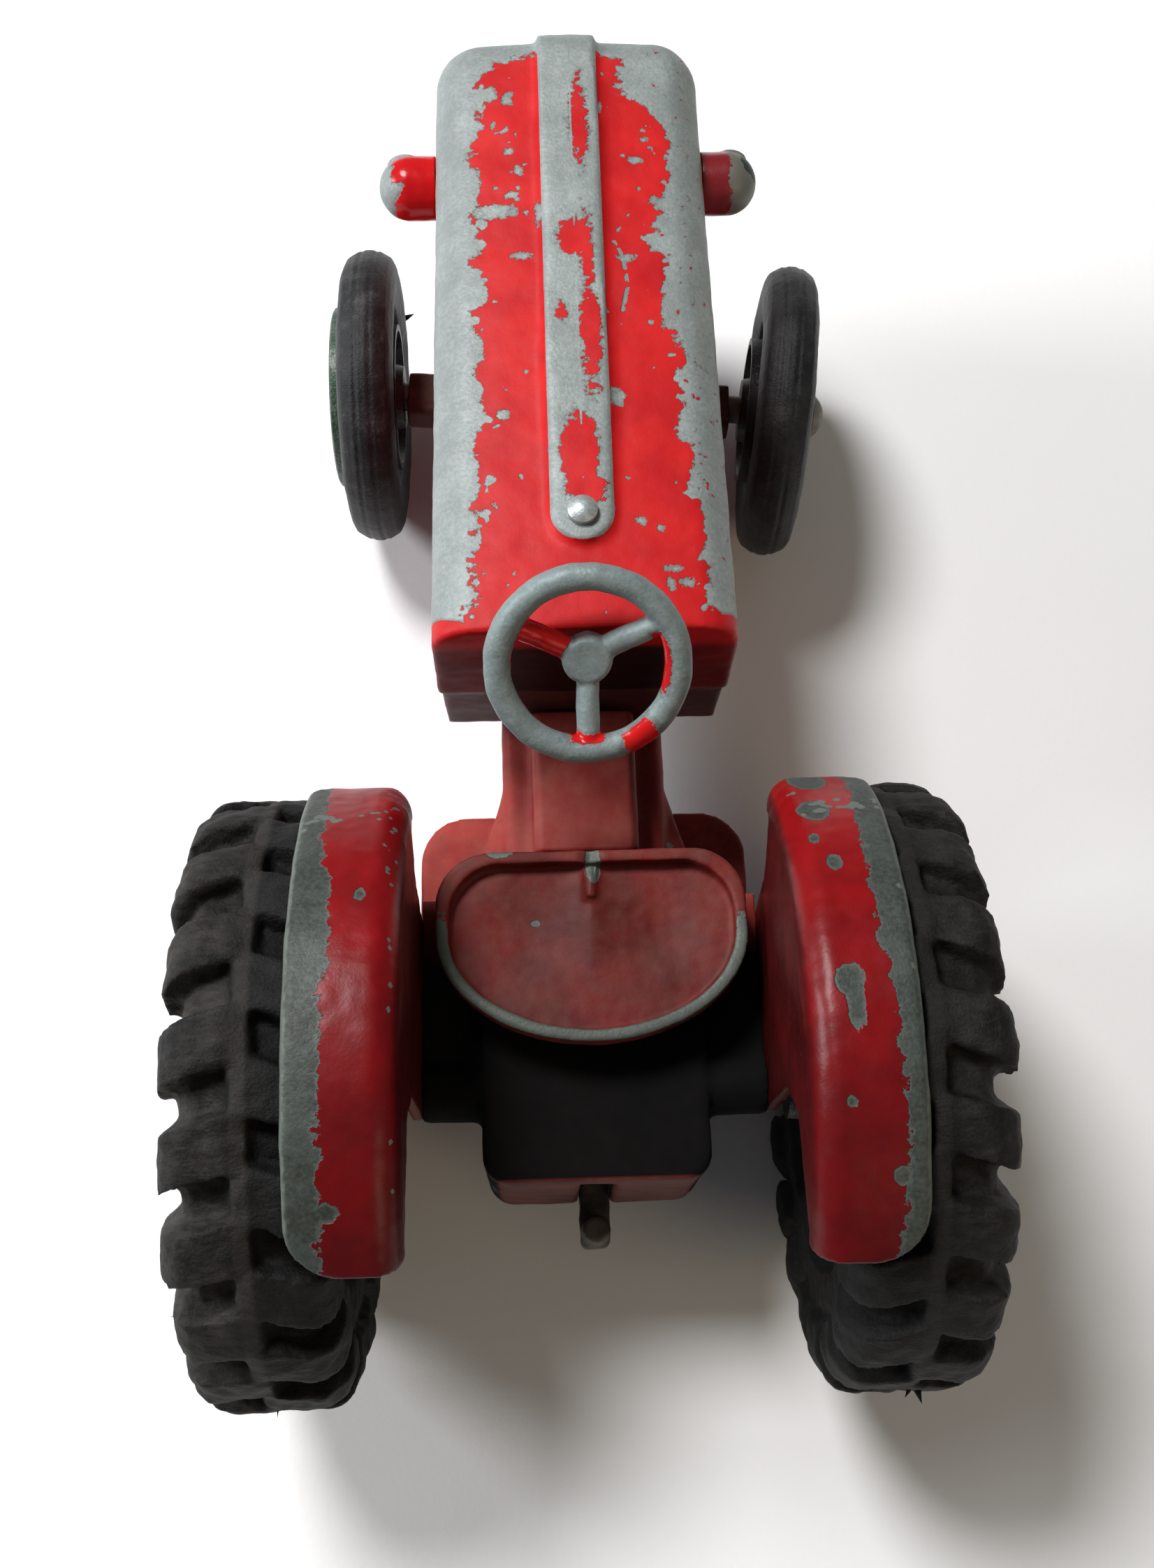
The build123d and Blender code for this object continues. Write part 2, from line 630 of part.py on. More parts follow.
def end_cutter(degrees, corner_inner, corner_outer, forward):
    """A prism, square to the shell near one of its ends, that rounds that end."""
    way = 1 if forward else -1
    lean = degrees - 90 + FENDER_END_LEAN * way
    reach = FENDER_RADIUS * sin(radians(FENDER_END_LEAN))
    near = way * reach
    far = -way * (1.7 * reach + 12)
    x0 = FENDER_INNER_X - 0.01
    x1 = FENDER_OUTER_X
    face = make_face(Polyline((x0, near), (x1, near), (x1, far), (x0, far), close=True))
    outer = [v for v in face.vertices() if abs(v.Y - near) < 0.01 and v.X > x1 - 0.1]
    face = fillet(outer, corner_outer)
    if corner_inner:
        inner = [v for v in face.vertices() if abs(v.Y - near) < 0.01 and v.X < x0 + 0.1]
        face = fillet(inner, corner_inner)
    return Pos(0, 0, REAR_RADIUS) * Rot(lean, 0, 0) * extrude(face, 30, both=True)


def fender_section():
    """Radial section of the shell: rolled inner shoulder, flat top and a soft outer lip."""
    r = FENDER_RADIUS
    s = FENDER_SHOULDER
    t = FENDER_THICKNESS
    lip = 0.45
    x0 = FENDER_INNER_X
    x1 = FENDER_OUTER_X
    q = s - t
    bend = cos(radians(45))
    root_out = Line((x0, r - s - 0.25, 0), (x0, r - s, 0))
    roll = ThreePointArc(
        (x0, r - s, 0), (x0 + s * (1 - bend), r - s + s * bend, 0), (x0 + s, r, 0)
    )
    top = Line((x0 + s, r, 0), (x1 - lip, r, 0))
    edge = ThreePointArc(
        (x1 - lip, r, 0), (x1 - lip * (1 - bend), r - lip * (1 - bend), 0), (x1, r - lip, 0)
    )
    under = Polyline((x1, r - lip, 0), (x1, r - t, 0), (x0 + s, r - t, 0))
    roll_in = ThreePointArc(
        (x0 + s, r - t, 0), (x0 + s - q * bend, r - s + q * bend, 0), (x0 + t, r - s, 0)
    )
    root_in = Polyline((x0 + t, r - s, 0), (x0 + t, r - s - 0.25, 0), (x0, r - s - 0.25, 0))
    return make_face([root_out, roll, top, edge, under, roll_in, root_in])


def fender_sector():
    """The wedge about the rear axle that the fender's shell covers."""
    corners = [(0, REAR_RADIUS), arc_point(30, FENDER_FRONT_DEG)]
    corners += [arc_point(40, 78), arc_point(30, FENDER_REAR_DEG)]
    face = make_face(Polyline(*[(0, y, z) for y, z in corners], close=True))
    return extrude(face, 20, dir=(1, 0, 0))


def fender(side):
    """Shell over the rear tyre with a rolled inner shoulder and its side plate."""
    ring = Pos(0, 0, REAR_RADIUS) * revolve(fender_section(), Axis.X, 360)
    shell = ring & fender_sector()
    shell = shell & end_cutter(FENDER_REAR_DEG, 0, 2.7, False)
    shell = shell & end_cutter(FENDER_FRONT_DEG, 1.2, 1.6, True)
    part = shell + fender_skirt()
    part = part - rod_x(ROD_RADIUS + 0.3, 5, 15, 0, REAR_RADIUS)
    for y in FENDER_RIVET_YS:
        part = part - rod_x(FENDER_RIVET_RADIUS + 0.02, 5, 13, y, FENDER_RIVET_Z)
    return part if side > 0 else mirror(part, Plane.YZ)


def fender_rivets():
    """Four studs through the side plates into the deck."""
    face_x = FENDER_INNER_X + FENDER_THICKNESS + 0.03
    studs = []
    for side in (-1, 1):
        for y in FENDER_RIVET_YS:
            stud = rod_x(FENDER_RIVET_RADIUS, 7.2, face_x + 0.1, y, FENDER_RIVET_Z)
            stud = stud + rod_x(0.85, face_x, face_x + 0.3, y, FENDER_RIVET_Z)
            studs.append(stud if side > 0 else mirror(stud, Plane.YZ))
    return studs


# --------------------------------------------------------------------- seat


def seat_outline(inset):
    """Plan outline of the seat: straight front, tight corners, a broad arc behind."""
    half = SEAT_HALF - inset
    front = SEAT_FRONT_Y - inset
    rear = SEAT_REAR_Y + inset
    waist = SEAT_WAIST_Y
    nose = Line((-half + 2.6, front), (half - 2.6, front))
    right = RadiusArc((half - 2.6, front), (half, front - 2.9), 2.9)
    cheek = Line((half, front - 2.9), (half, waist))
    back = EllipticalCenterArc((0, waist), half, waist - rear, 180, arc_size=180)
    cheek_left = Line((-half, waist), (-half, front - 2.9))
    left = RadiusArc((-half, front - 2.9), (-half + 2.6, front), 2.9)
    return make_face([nose, right, cheek, back, cheek_left, left])


def seat():
    """Cast pan: raised rim, dished well, centre rib at the front, square foot below."""
    low = SEAT_RIM_Z - SEAT_THICKNESS
    pan = Pos(0, 0, low) * extrude(seat_outline(0), SEAT_THICKNESS)
    pan = fillet(pan.edges().group_by(Axis.Z)[0], 0.8)
    well = Pos(0, 0, SEAT_RIM_Z - 0.9) * extrude(seat_outline(0.65), 2)
    middle = (SEAT_FRONT_Y + SEAT_REAR_Y) / 2
    rib = Pos(0, SEAT_FRONT_Y - 1.5, SEAT_RIM_Z - 0.95) * Rot(90, 0, 0) * Cylinder(0.38, 2.0)
    pan = (pan - well) + rib
    return pan + box(-2.5, 2.5, middle - 2.5, middle + 2.5, HOUSING_TOP_Z - 0.98, low + 0.4)


# ------------------------------------------------------------ steering wheel


def on_column(shape):
    """Places a shape drawn about Z, ring plane at z = 0, on the steering axis."""
    return Pos(0, WHEEL_CENTRE_Y, WHEEL_CENTRE_Z) * Rot(WHEEL_TILT_DEG, 0, 0) * shape


def column_axis(radius, start, length):
    """A round bar down the steering axis, from a depth below the ring plane."""
    return on_column(rod_z(radius, -WHEEL_DISH - start - length, -WHEEL_DISH - start))


def steering_spoke():
    """A round spoke that climbs from the dished nave to the ring."""
    start = Vector(0, -0.6, -WHEEL_DISH - 0.1)
    end = Vector(0, -WHEEL_RING_RADIUS, 0)
    seat_low = (Align.CENTER, Align.CENTER, Align.MIN)
    return Plane(start, z_dir=end - start) * Cylinder(SPOKE_RADIUS, (end - start).length, align=seat_low)


def steering_wheel():
    """Ring, three round spokes and a domed nave with a socket below."""
    nave = rod_z(NAVE_RADIUS, -WHEEL_DISH - 0.4, -WHEEL_DISH + 0.85)
    nave = fillet(nave.edges().group_by(Axis.Z)[-1], 0.35)
    tube = Pos(WHEEL_RING_RADIUS, 0, 0) * Rot(90, 0, 0) * Rot(0, 0, 180) * Circle(WHEEL_TUBE_RADIUS)
    ring = Rot(0, 0, 90) * revolve(tube, Axis.Z, 360)
    wheel = nave.fuse(*[Rot(0, 0, 120 * k) * steering_spoke() for k in range(3)]).fuse(ring)
    socket = rod_z(COLUMN_RADIUS + FIXED_CLEARANCE, -WHEEL_DISH - 2.0, -WHEEL_DISH - 0.2)
    return on_column(wheel - socket)


def steering_column():
    """Shaft from the nave through the back of the bonnet, peened inside."""
    shaft = column_axis(COLUMN_RADIUS, 0.2, 5.2)
    tail = on_column(Pos(0, 0, -WHEEL_DISH - 5.2) * Cylinder(1.05, 0.5))
    return shaft + tail


# ------------------------------------------------------------------- export


def all_pieces():
    """Every piece by its node name, in the working position."""
    parts = {
        "bonnet": bonnet(),
        "filler_cap": filler_cap(),
        "headlamp_left": headlamp(-1),
        "headlamp_right": headlamp(1),
        "chassis": chassis(),
        "base_plate": base_plate(),
        "base_rivets": base_rivets(),
        "bonnet_rivets": bonnet_rivets(),
        "fender_left": fender(-1),
        "fender_right": fender(1),
        "fender_rivets": fender_rivets(),
        "seat": seat(),
        "steering_wheel": steering_wheel(),
        "steering_column": steering_column(),
        "tow_hook": tow_hook(),
        "kingpin": kingpin(),
        "kingpin_washer": kingpin_washer(),
        "front_beam": front_beam(),
        "front_axle_pin_left": front_axle_pin(-1),
        "front_axle_pin_right": front_axle_pin(1),
        "rear_axle_rod": rear_axle_rod(),
    }
    tyre = rear_tyre()
    narrow = front_tyre()
    for side, name in ((-1, "left"), (1, "right")):
        turned_tyre = tyre if side < 0 else mirror(tyre, Plane.YZ)
        parts["rear_tyre_" + name] = at_rear_wheel(turned_tyre, side)
        parts["rear_hub_" + name] = at_rear_wheel(rear_hub(side), side)
        face_x = FRONT_HUB_LEFT_FACE if side < 0 else FRONT_HUB_RIGHT_FACE
        tyre_x = FRONT_TYRE_LEFT_X if side < 0 else FRONT_TYRE_RIGHT_X
        hub = Pos(face_x, 0, FRONT_RADIUS) * front_hub(side)
        ring = Pos(tyre_x, 0, FRONT_RADIUS) * narrow
        parts["front_hub_" + name] = steered(toed(hub, side))
        parts["front_tyre_" + name] = steered(toed(ring, side))
    return parts


def export_all():
    """Moves the tractor onto its origin and writes one STEP file per piece."""
    os.makedirs("parts", exist_ok=True)
    home = Pos(0, -ORIGIN_Y, 0)
    for name, shape in all_pieces().items():
        pieces = shape if isinstance(shape, list) else [shape]
        solids = [s for piece in pieces for s in (home * piece).solids()]
        whole = solids[0] if len(solids) == 1 else Compound(children=solids)
        export_step(whole, "parts/" + name + ".step")
        print(name, len(solids), round(sum(s.volume for s in solids), 2))


export_all()
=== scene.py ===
import math

import bpy
import numpy as np
from mathutils import Matrix, Vector, noise


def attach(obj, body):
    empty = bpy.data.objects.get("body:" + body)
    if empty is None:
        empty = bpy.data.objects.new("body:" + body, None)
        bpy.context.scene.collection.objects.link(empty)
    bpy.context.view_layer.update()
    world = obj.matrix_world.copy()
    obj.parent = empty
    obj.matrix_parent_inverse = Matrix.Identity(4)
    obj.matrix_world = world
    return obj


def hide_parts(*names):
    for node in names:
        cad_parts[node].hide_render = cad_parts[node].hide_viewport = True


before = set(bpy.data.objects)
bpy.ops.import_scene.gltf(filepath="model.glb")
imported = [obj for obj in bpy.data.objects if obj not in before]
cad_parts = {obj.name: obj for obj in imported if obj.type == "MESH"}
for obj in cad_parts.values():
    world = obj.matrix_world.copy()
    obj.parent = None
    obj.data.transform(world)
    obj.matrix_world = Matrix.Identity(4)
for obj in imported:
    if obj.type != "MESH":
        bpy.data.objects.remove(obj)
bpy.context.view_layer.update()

MM = 0.001
ORIGIN_Y = 22.7  # the rear axle lies this far behind the model's origin, in millimetres

# The camera, in millimetres and degrees: close above the rear of the toy, looking down and forward.
CAMERA_PLACE = Vector((-2.76, -14.77 - ORIGIN_Y, 109.68))
CAMERA_YAW = 4.14
CAMERA_PITCH = 70.97
CAMERA_ROLL = 2.56
CAMERA_LENS = 53.74
CAMERA_SENSOR = 36.0

# Places on the tractor, in millimetres from the ground below the rear axle.
WHEEL_CENTRE = (0.0, 19.5, 28.7)
WHEEL_TILT = 42.0
WHEEL_RING = 4.65
WHEEL_DISH = 1.2
UPPER_LEFT_SPOKE = 2.62  # directions round the steering wheel, in radians from the right
LOWER_SPOKE = -1.57
RING_PATCH = -0.98
BONNET_BACK_Y = 22.15
BONNET_SHOULDER_Z = 25.2
BONNET_SKIRT_Z = 19.75
STRIP_HALF_WIDTH = 1.7
STRIP_REAR_Y = 26.62
SEAT_RIM_Z = 21.12
REAR_LEFT = (-16.55, 0.0, 16.0)
REAR_RIGHT = (15.25, 0.0, 16.0)
FRONT_LEFT = (-12.82, 47.28, 9.4)
FRONT_RIGHT = (13.8, 45.5, 9.4)
FRONT_LEFT_HEADING = -0.4
FRONT_RIGHT_HEADING = -7.0

RED = (0.56, 0.012, 0.012)
RED_DEEP = (0.43, 0.006, 0.008)
ZINC = (0.30, 0.335, 0.325)
ZINC_DARK = (0.10, 0.12, 0.11)
DUST = (0.30, 0.16, 0.11)

# Bare patches seen from above: the middle, and half the width and the length.
BONNET_BARE = [
    (-4.4, 47.8, 1.3, 0.5),
    (-1.85, 47.5, 0.28, 0.7),
    (-3.4, 48.9, 0.35, 0.25),
    (-2.9, 44.7, 0.52, 0.24),
    (-4.1, 34.5, 0.32, 0.3),
    (-3.5, 55.7, 0.36, 0.45),
    (-4.6, 56.1, 0.5, 0.5),
    (-4.4, 53.8, 0.22, 0.24),
    (-3.6, 51.9, 0.25, 0.25),
    (-3.0, 50.6, 0.18, 0.3),
    (-5.6, 37.9, 0.25, 0.36),
    (4.3, 52.7, 0.22, 0.24),
    (3.8, 51.2, 0.36, 0.24),
    (5.6, 48.4, 1.2, 0.4),
    (3.0, 44.5, 0.44, 0.22),
    (2.15, 35.4, 0.4, 0.6),
    (3.1, 27.9, 0.34, 0.24),
    (4.2, 27.4, 0.22, 0.16),
    (4.7, 25.1, 0.5, 0.2),
    (5.4, 24.3, 0.45, 0.25),
    (4.5, 24.2, 0.2, 0.35),
    (3.9, 57.4, 0.45, 0.4),
    (3.0, 56.5, 0.33, 0.18),
    (4.8, 45.9, 0.38, 0.27),
]

# Width of the bare band along each fender, by place from back to front.
LEFT_BAND = [(-12, 1.7), (-8, 1.7), (-3, 1.7), (2, 1.9), (6, 2.1), (10, 1.4), (14, 1.2), (17, 1.3)]
RIGHT_BAND = [(-12, 1.5), (-6, 1.2), (0, 1.2), (5, 1.7), (10, 1.6), (14, 1.4), (17, 1.6)]

# More bare patches, on the fenders.
LEFT_BARE = [(-11.2, 6.96, 0.3, 0.35), (-12.6, -7.6, 0.6, 0.4)]
RIGHT_BARE = [
    (11.0, 11.6, 0.85, 0.7),
    (10.65, 9.6, 0.3, 0.3),
    (11.4, 8.1, 0.35, 0.4),
    (11.0, -3.5, 0.25, 0.3),
    (11.3, 2.0, 0.7, 0.8),
    (11.5, 1.0, 0.45, 1.3),
    (13.2, -6.7, 0.4, 0.4),
    (11.3, 14.2, 1.0, 0.9),
]


# ---------------------------------------------------------------- node arithmetic


class Value:
    """A number inside a material's node tree, with plain arithmetic."""

    def __init__(self, tree, socket):
        self.tree = tree
        self.socket = socket

    def __add__(self, other):
        return calc("ADD", self, other)

    def __radd__(self, other):
        return calc("ADD", other, self)

    def __sub__(self, other):
        return calc("SUBTRACT", self, other)

    def __rsub__(self, other):
        return calc("SUBTRACT", other, self)

    def __mul__(self, other):
        return calc("MULTIPLY", self, other)

    def __rmul__(self, other):
        return calc("MULTIPLY", other, self)

    def __truediv__(self, other):
        return calc("DIVIDE", self, other)

    def __neg__(self):
        return calc("MULTIPLY", self, -1.0)


def plug(value, socket):
    """Feeds a socket from a value in the tree, or sets it to a constant."""
    if isinstance(value, Value):
        value.tree.links.new(value.socket, socket)
    elif isinstance(value, tuple) and len(value) == 3 and socket.type == "RGBA":
        socket.default_value = value + (1.0,)
    else:
        socket.default_value = value


def calc(operation, *terms):
    tree = next(t.tree for t in terms if isinstance(t, Value))
    made = tree.nodes.new("ShaderNodeMath")
    made.operation = operation
    for term, socket in zip(terms, made.inputs):
        plug(term, socket)
    return Value(tree, made.outputs[0])


def least(*terms):
    result = terms[0]
    for term in terms[1:]:
        result = calc("MINIMUM", result, term)
    return result


def most(*terms):
    result = terms[0]
    for term in terms[1:]:
        result = calc("MAXIMUM", result, term)
    return result


def ramp(value, low, high, start=0.0, end=1.0, soft=True):
    """Goes from start to end as the value goes from low to high."""
    made = value.tree.nodes.new("ShaderNodeMapRange")
    made.interpolation_type = "SMOOTHSTEP" if soft else "LINEAR"
    made.clamp = True
    for given, socket in zip((value, low, high, start, end), made.inputs):
        plug(given, socket)
    return Value(value.tree, made.outputs[0])


def track(value, points):
    """A run of straight pieces through (place, height) points."""
    result = None
    for (p0, h0), (p1, h1) in zip(points, points[1:]):
        step = ramp(value, p0, p1, 0.0, h1 - h0, soft=False)
        result = step if result is None else result + step
    return result + points[0][1]


def blend(factor, first, second):
    """Colour mixed from first to second."""
    made = factor.tree.nodes.new("ShaderNodeMix")
    made.data_type = "RGBA"
    plug(factor, made.inputs[0])
    plug(first, made.inputs[6])
    plug(second, made.inputs[7])
    return Value(factor.tree, made.outputs[2])


class Skin:
    """A material being written, with the place of the shaded point in millimetres."""

    def __init__(self, name):
        self.material = bpy.data.materials.new(name)
        self.material.use_nodes = True
        self.tree = self.material.node_tree
        self.shader = self.tree.nodes["Principled BSDF"]
        place = self.tree.nodes.new("ShaderNodeTexCoord")
        scaled = self.tree.nodes.new("ShaderNodeVectorMath")
        scaled.operation = "MULTIPLY_ADD"
        self.tree.links.new(place.outputs["Object"], scaled.inputs[0])
        scaled.inputs[1].default_value = (1 / MM, 1 / MM, 1 / MM)
        scaled.inputs[2].default_value = (0, ORIGIN_Y, 0)
        self.place = Value(self.tree, scaled.outputs[0])
        apart = self.tree.nodes.new("ShaderNodeSeparateXYZ")
        self.tree.links.new(scaled.outputs[0], apart.inputs[0])
        self.x, self.y, self.z = (Value(self.tree, socket) for socket in apart.outputs)
        self.across = calc("ABSOLUTE", self.x)

    def noise(self, size, detail=3.0, rough=0.55, shift=0.0, stretch=None):
        """Noise about zero, between -0.5 and 0.5, with features of a size in millimetres."""
        moved = self.tree.nodes.new("ShaderNodeMapping")
        plug(self.place, moved.inputs["Vector"])
        moved.inputs["Location"].default_value = (shift, shift * 1.7, -shift)
        moved.inputs["Scale"].default_value = stretch or (1, 1, 1)
        made = self.tree.nodes.new("ShaderNodeTexNoise")
        self.tree.links.new(moved.outputs[0], made.inputs["Vector"])
        made.inputs["Scale"].default_value = 1 / size
        made.inputs["Detail"].default_value = detail
        made.inputs["Roughness"].default_value = rough
        return Value(self.tree, made.outputs[0]) - 0.5

    def edges(self):
        """Above zero on outward edges, below zero in corners."""
        made = self.tree.nodes.new("ShaderNodeNewGeometry")
        return Value(self.tree, made.outputs["Pointiness"]) - 0.5

    def spot(self, x, y, wide, long):
        """Above zero inside an upright elliptical patch seen from above."""
        u = (self.x - x) / wide
        v = (self.y - y) / long
        return (1.0 - calc("SQRT", u * u + v * v)) * min(wide, long)

    def spots(self, places):
        return most(*[self.spot(*place) for place in places])

    def finish(self, colour, metal=0.0, rough=0.5, height=None, depth=0.02, coat=0.0, specular=0.5):
        """Sends colours and numbers to the shader; height is in units of depth millimetres."""
        plug(colour, self.shader.inputs["Base Color"])
        plug(metal, self.shader.inputs["Metallic"])
        plug(rough, self.shader.inputs["Roughness"])
        plug(specular, self.shader.inputs["Specular IOR Level"])
        plug(coat, self.shader.inputs["Coat Weight"])
        self.shader.inputs["Coat Roughness"].default_value = 0.2
        if height is not None:
            bump = self.tree.nodes.new("ShaderNodeBump")
            bump.inputs["Distance"].default_value = depth * MM
            plug(height, bump.inputs["Height"])
            self.tree.links.new(bump.outputs[0], self.shader.inputs["Normal"])
        return self.material


# ---------------------------------------------------------------- finishes


def zinc_colour(skin, light=ZINC):
    """Dull bare casting: clouded grey with small dark pits."""
    clouds = skin.noise(2.6, 5.0, 0.6, 3.0)
    pits = skin.noise(0.22, 2.0, 0.5, 7.0)
    shade = ramp(clouds * 1.2 + pits * 0.9, -0.28, 0.42)
    return blend((1.0 - shade) * 0.45, light, ZINC_DARK)


def painted(skin, amount, red=RED, deep=RED_DEEP, dusty=0.0, shine=0.36, metal_tone=ZINC):
    """Enamel where amount, in millimetres, is above zero, over bare casting elsewhere."""
    mask = ramp(amount, -0.03, 0.03)
    rim = ramp(calc("ABSOLUTE", amount + 0.05), 0.14, 0.0)
    metal = blend(rim * 0.55, zinc_colour(skin, metal_tone), ZINC_DARK)
    tone = blend(ramp(skin.noise(3.5, 4.0, 0.6, 11.0), -0.2, 0.25), deep, red)
    tone = blend(rim * 0.35, tone, (0.09, 0.006, 0.006))
    haze = ramp(skin.noise(1.7, 6.0, 0.7, 5.0) + dusty * 0.5, -0.1, 0.55)
    dust = haze * dusty
    tone = blend(dust, tone, DUST)
    colour = blend(mask, metal, tone)
    grain = skin.noise(0.16, 3.0, 0.6, 2.0)
    waves = skin.noise(0.9, 2.0, 0.5, 9.0)
    height = mask * 1.0 + grain * (1.0 - mask * 0.72) * 0.75 + waves * 0.5
    paint_rough = shine + dust * 0.55 + waves * 0.12
    rough = mask * paint_rough + (1.0 - mask) * (0.52 + grain * 0.3)
    return skin.finish(colour, (1.0 - mask) * 0.15, rough, height, 0.035, 0.0, mask * -0.15 + 0.35)


def rag(skin, coarse, fine, shift=0.0):
    """Uneven offset for the border of worn paint, in millimetres."""
    big = skin.noise(1.5, 2.0, 0.5, shift) * coarse
    teeth = skin.noise(0.42, 3.0, 0.62, shift + 4.0) * fine
    return big + teeth


def bonnet_skin():
    """Red field down the middle of the top, red flanks, bare shoulders, nose and strip."""
    skin = Skin("bonnet_enamel")
    x, y, z = skin.x, skin.y, skin.z
    left = track(y, [(22, 6.5), (25, 5.9), (31, 5.4), (40, 5.25), (48, 5.4), (55, 5.2), (58, 4.4)])
    right = track(
        y, [(22, 6.7), (28, 6.1), (38, 5.4), (46, 4.7), (50, 5.5), (52.5, 5.9), (54, 5.0), (56, 3.4)]
    )
    on_right = ramp(x, -0.1, 0.1)
    field = left + (right - left) * on_right - skin.across
    field = least(field, 58.6 - y)
    bites = ramp(skin.noise(0.95, 1.0, 0.4, 31.0), 0.08, 0.3) * -1.3
    bites = bites * ramp(field, 1.6, 0.0)
    field = field + skin.noise(1.9, 1.0, 0.5, 2.0) * 2.6 + rag(skin, 0.9, 1.5) + bites
    crowd = ramp(skin.noise(4.5, 2.0, 0.5, 23.0) + ramp(y, 42.0, 50.0) * 0.12, 0.12, -0.12) * 0.09
    chips = (0.19 + crowd - skin.noise(0.8, 1.5, 0.5, 17.0)) * 3.4
    lost = 0.0 - skin.spots(BONNET_BARE) + rag(skin, 0.35, 0.75, 33.0)
    chips = least(chips, lost)
    specks = (skin.noise(0.5, 2.0, 0.5, 41.0) - 0.205) * 2.5
    specks = specks - ramp(x, 3.5, 5.0, 0.6, 0.0)
    top = most(least(field, chips), specks)
    flank = BONNET_SHOULDER_Z - z + rag(skin, 0.5, 0.6, 13.0)
    back = BONNET_BACK_Y - y + rag(skin, 0.25, 0.3, 19.0) + ramp(skin.across, 5.6, 8.2) * 0.8
    covered = most(top, flank, back)
    strip_side = STRIP_HALF_WIDTH - skin.across
    strip_end = STRIP_REAR_Y + STRIP_HALF_WIDTH - calc("SQRT", most(STRIP_HALF_WIDTH**2 - x * x, 0.0)) - y
    on_strip = ramp(least(strip_side, -strip_end), -0.02, 0.02)
    patches = [
        (0.55, 53.6, 0.5, 2.7),
        (0.15, 45.6, 1.0, 1.3),
        (0.72, 44.3, 0.4, 2.2),
        (0.80, 39.2, 0.55, 3.2),
        (-0.75, 40.6, 0.35, 0.5),
        (-0.05, 31.9, 1.0, 2.4),
        (0.3, 29.6, 1.1, 0.9),
    ]
    on_top = skin.spots(patches) + rag(skin, 0.35, 1.0, 29.0) + skin.noise(0.3, 2.0, 0.5, 37.0) * 0.5
    on_top = on_top - ramp(calc("ABSOLUTE", x - 0.1), 0.09, 0.0) * 0.35
    curved = calc("ABSOLUTE", x - track(y, [(40.5, 2.55), (42.5, 2.95), (44.5, 2.8), (46.0, 2.1)])) - 0.13
    scratch = most(curved + ramp(y, 40.4, 41.0, 1.0, 0.0) + ramp(y, 45.8, 46.4, 0.0, 1.0), -1.0)
    covered = least(covered, scratch + ramp(skin.noise(0.5, 2.0, 0.5, 43.0), 0.0, 0.12) * 0.2)
    amount = covered + (on_top - covered) * on_strip
    worn = (0.052 - skin.edges() + skin.noise(0.8, 2.0, 0.5, 47.0) * 0.05) * 10.0
    amount = least(amount, worn + ramp(z, 22.0, 27.0) * 2.0)
    # Below the skirt the red turns dull brown, most at the back: painted shade under the bonnet's edge,
    # with dust.
    lower = ramp(z, BONNET_SKIRT_Z, BONNET_SKIRT_Z - 0.2) * ramp(y, 22.0, 34.0, 1.0, 0.4)
    # Painted shade: the back face of the bonnet is a darker red, and near black in the middle where the
    # steering wheel's shadow falls.
    back_shade = ramp(y, 22.4, 22.0) * ramp(z, 26.4, 25.4)
    wheel_shadow = back_shade * ramp(skin.across + skin.noise(2.0, 2.0, 0.5, 51.0) * 1.5, 5.6, 4.2)
    back_red = blend(back_shade, RED, (0.22, 0.006, 0.008))
    red = blend(lower, blend(wheel_shadow, back_red, (0.012, 0.002, 0.002)), (0.13, 0.03, 0.025))
    back_deep = blend(back_shade, RED_DEEP, (0.13, 0.004, 0.006))
    deep = blend(lower, blend(wheel_shadow, back_deep, (0.008, 0.002, 0.002)), (0.06, 0.02, 0.018))
    return painted(skin, amount, red, deep, 0.0, 0.5)


def fender_skin(name, widths, lost):
    """Red shell with a bare band of changing width along its outer edge."""
    skin = Skin(name)
    band = 14.6 - track(skin.y, widths) - skin.across
    scallop = skin.noise(1.15, 1.0, 0.4, 3.0) * 0.9
    band = band + scallop + rag(skin, 0.5, 1.0, 6.0)
    holes = 0.0 - skin.spots(lost) + rag(skin, 0.3, 0.35, 12.0)
    chips = (0.27 - skin.noise(0.7, 3.0, 0.5, 15.0)) * 3.0
    worn = (0.095 - skin.edges() + skin.noise(0.7, 3.0, 0.5, 18.0) * 0.06) * 8.0
    shell = ramp(skin.across, 9.7, 9.9)
    amount = least(band + (1.0 - shell) * 6.0, holes, chips, worn)
    skirt = 1.0 - ramp(skin.across, 9.3, 9.6)
    red = blend(skirt, (0.27, 0.004, 0.006), (0.09, 0.006, 0.006))
    deep = blend(skirt, (0.17, 0.003, 0.004), (0.045, 0.004, 0.004))
    # Painted shade: the red of the fender darkens towards the rear.
    rear_shade = ramp(skin.y + skin.noise(4.0, 2.0, 0.5, 33.0) * 5.0, 12.0, -10.0)
    red = blend(rear_shade * 0.75, red, (0.07, 0.003, 0.004))
    deep = blend(rear_shade * 0.75, deep, (0.045, 0.003, 0.004))
    lip = ramp(skin.across + skin.noise(0.5, 2.0, 0.5, 27.0) * 0.3, 14.3, 14.5)
    lip = most(lip, ramp(skin.edges(), 0.05, 0.1))
    bare = blend(lip, (0.024, 0.028, 0.021), (0.12, 0.135, 0.115))
    return painted(skin, amount, red, deep, 0.02, 0.34, bare)


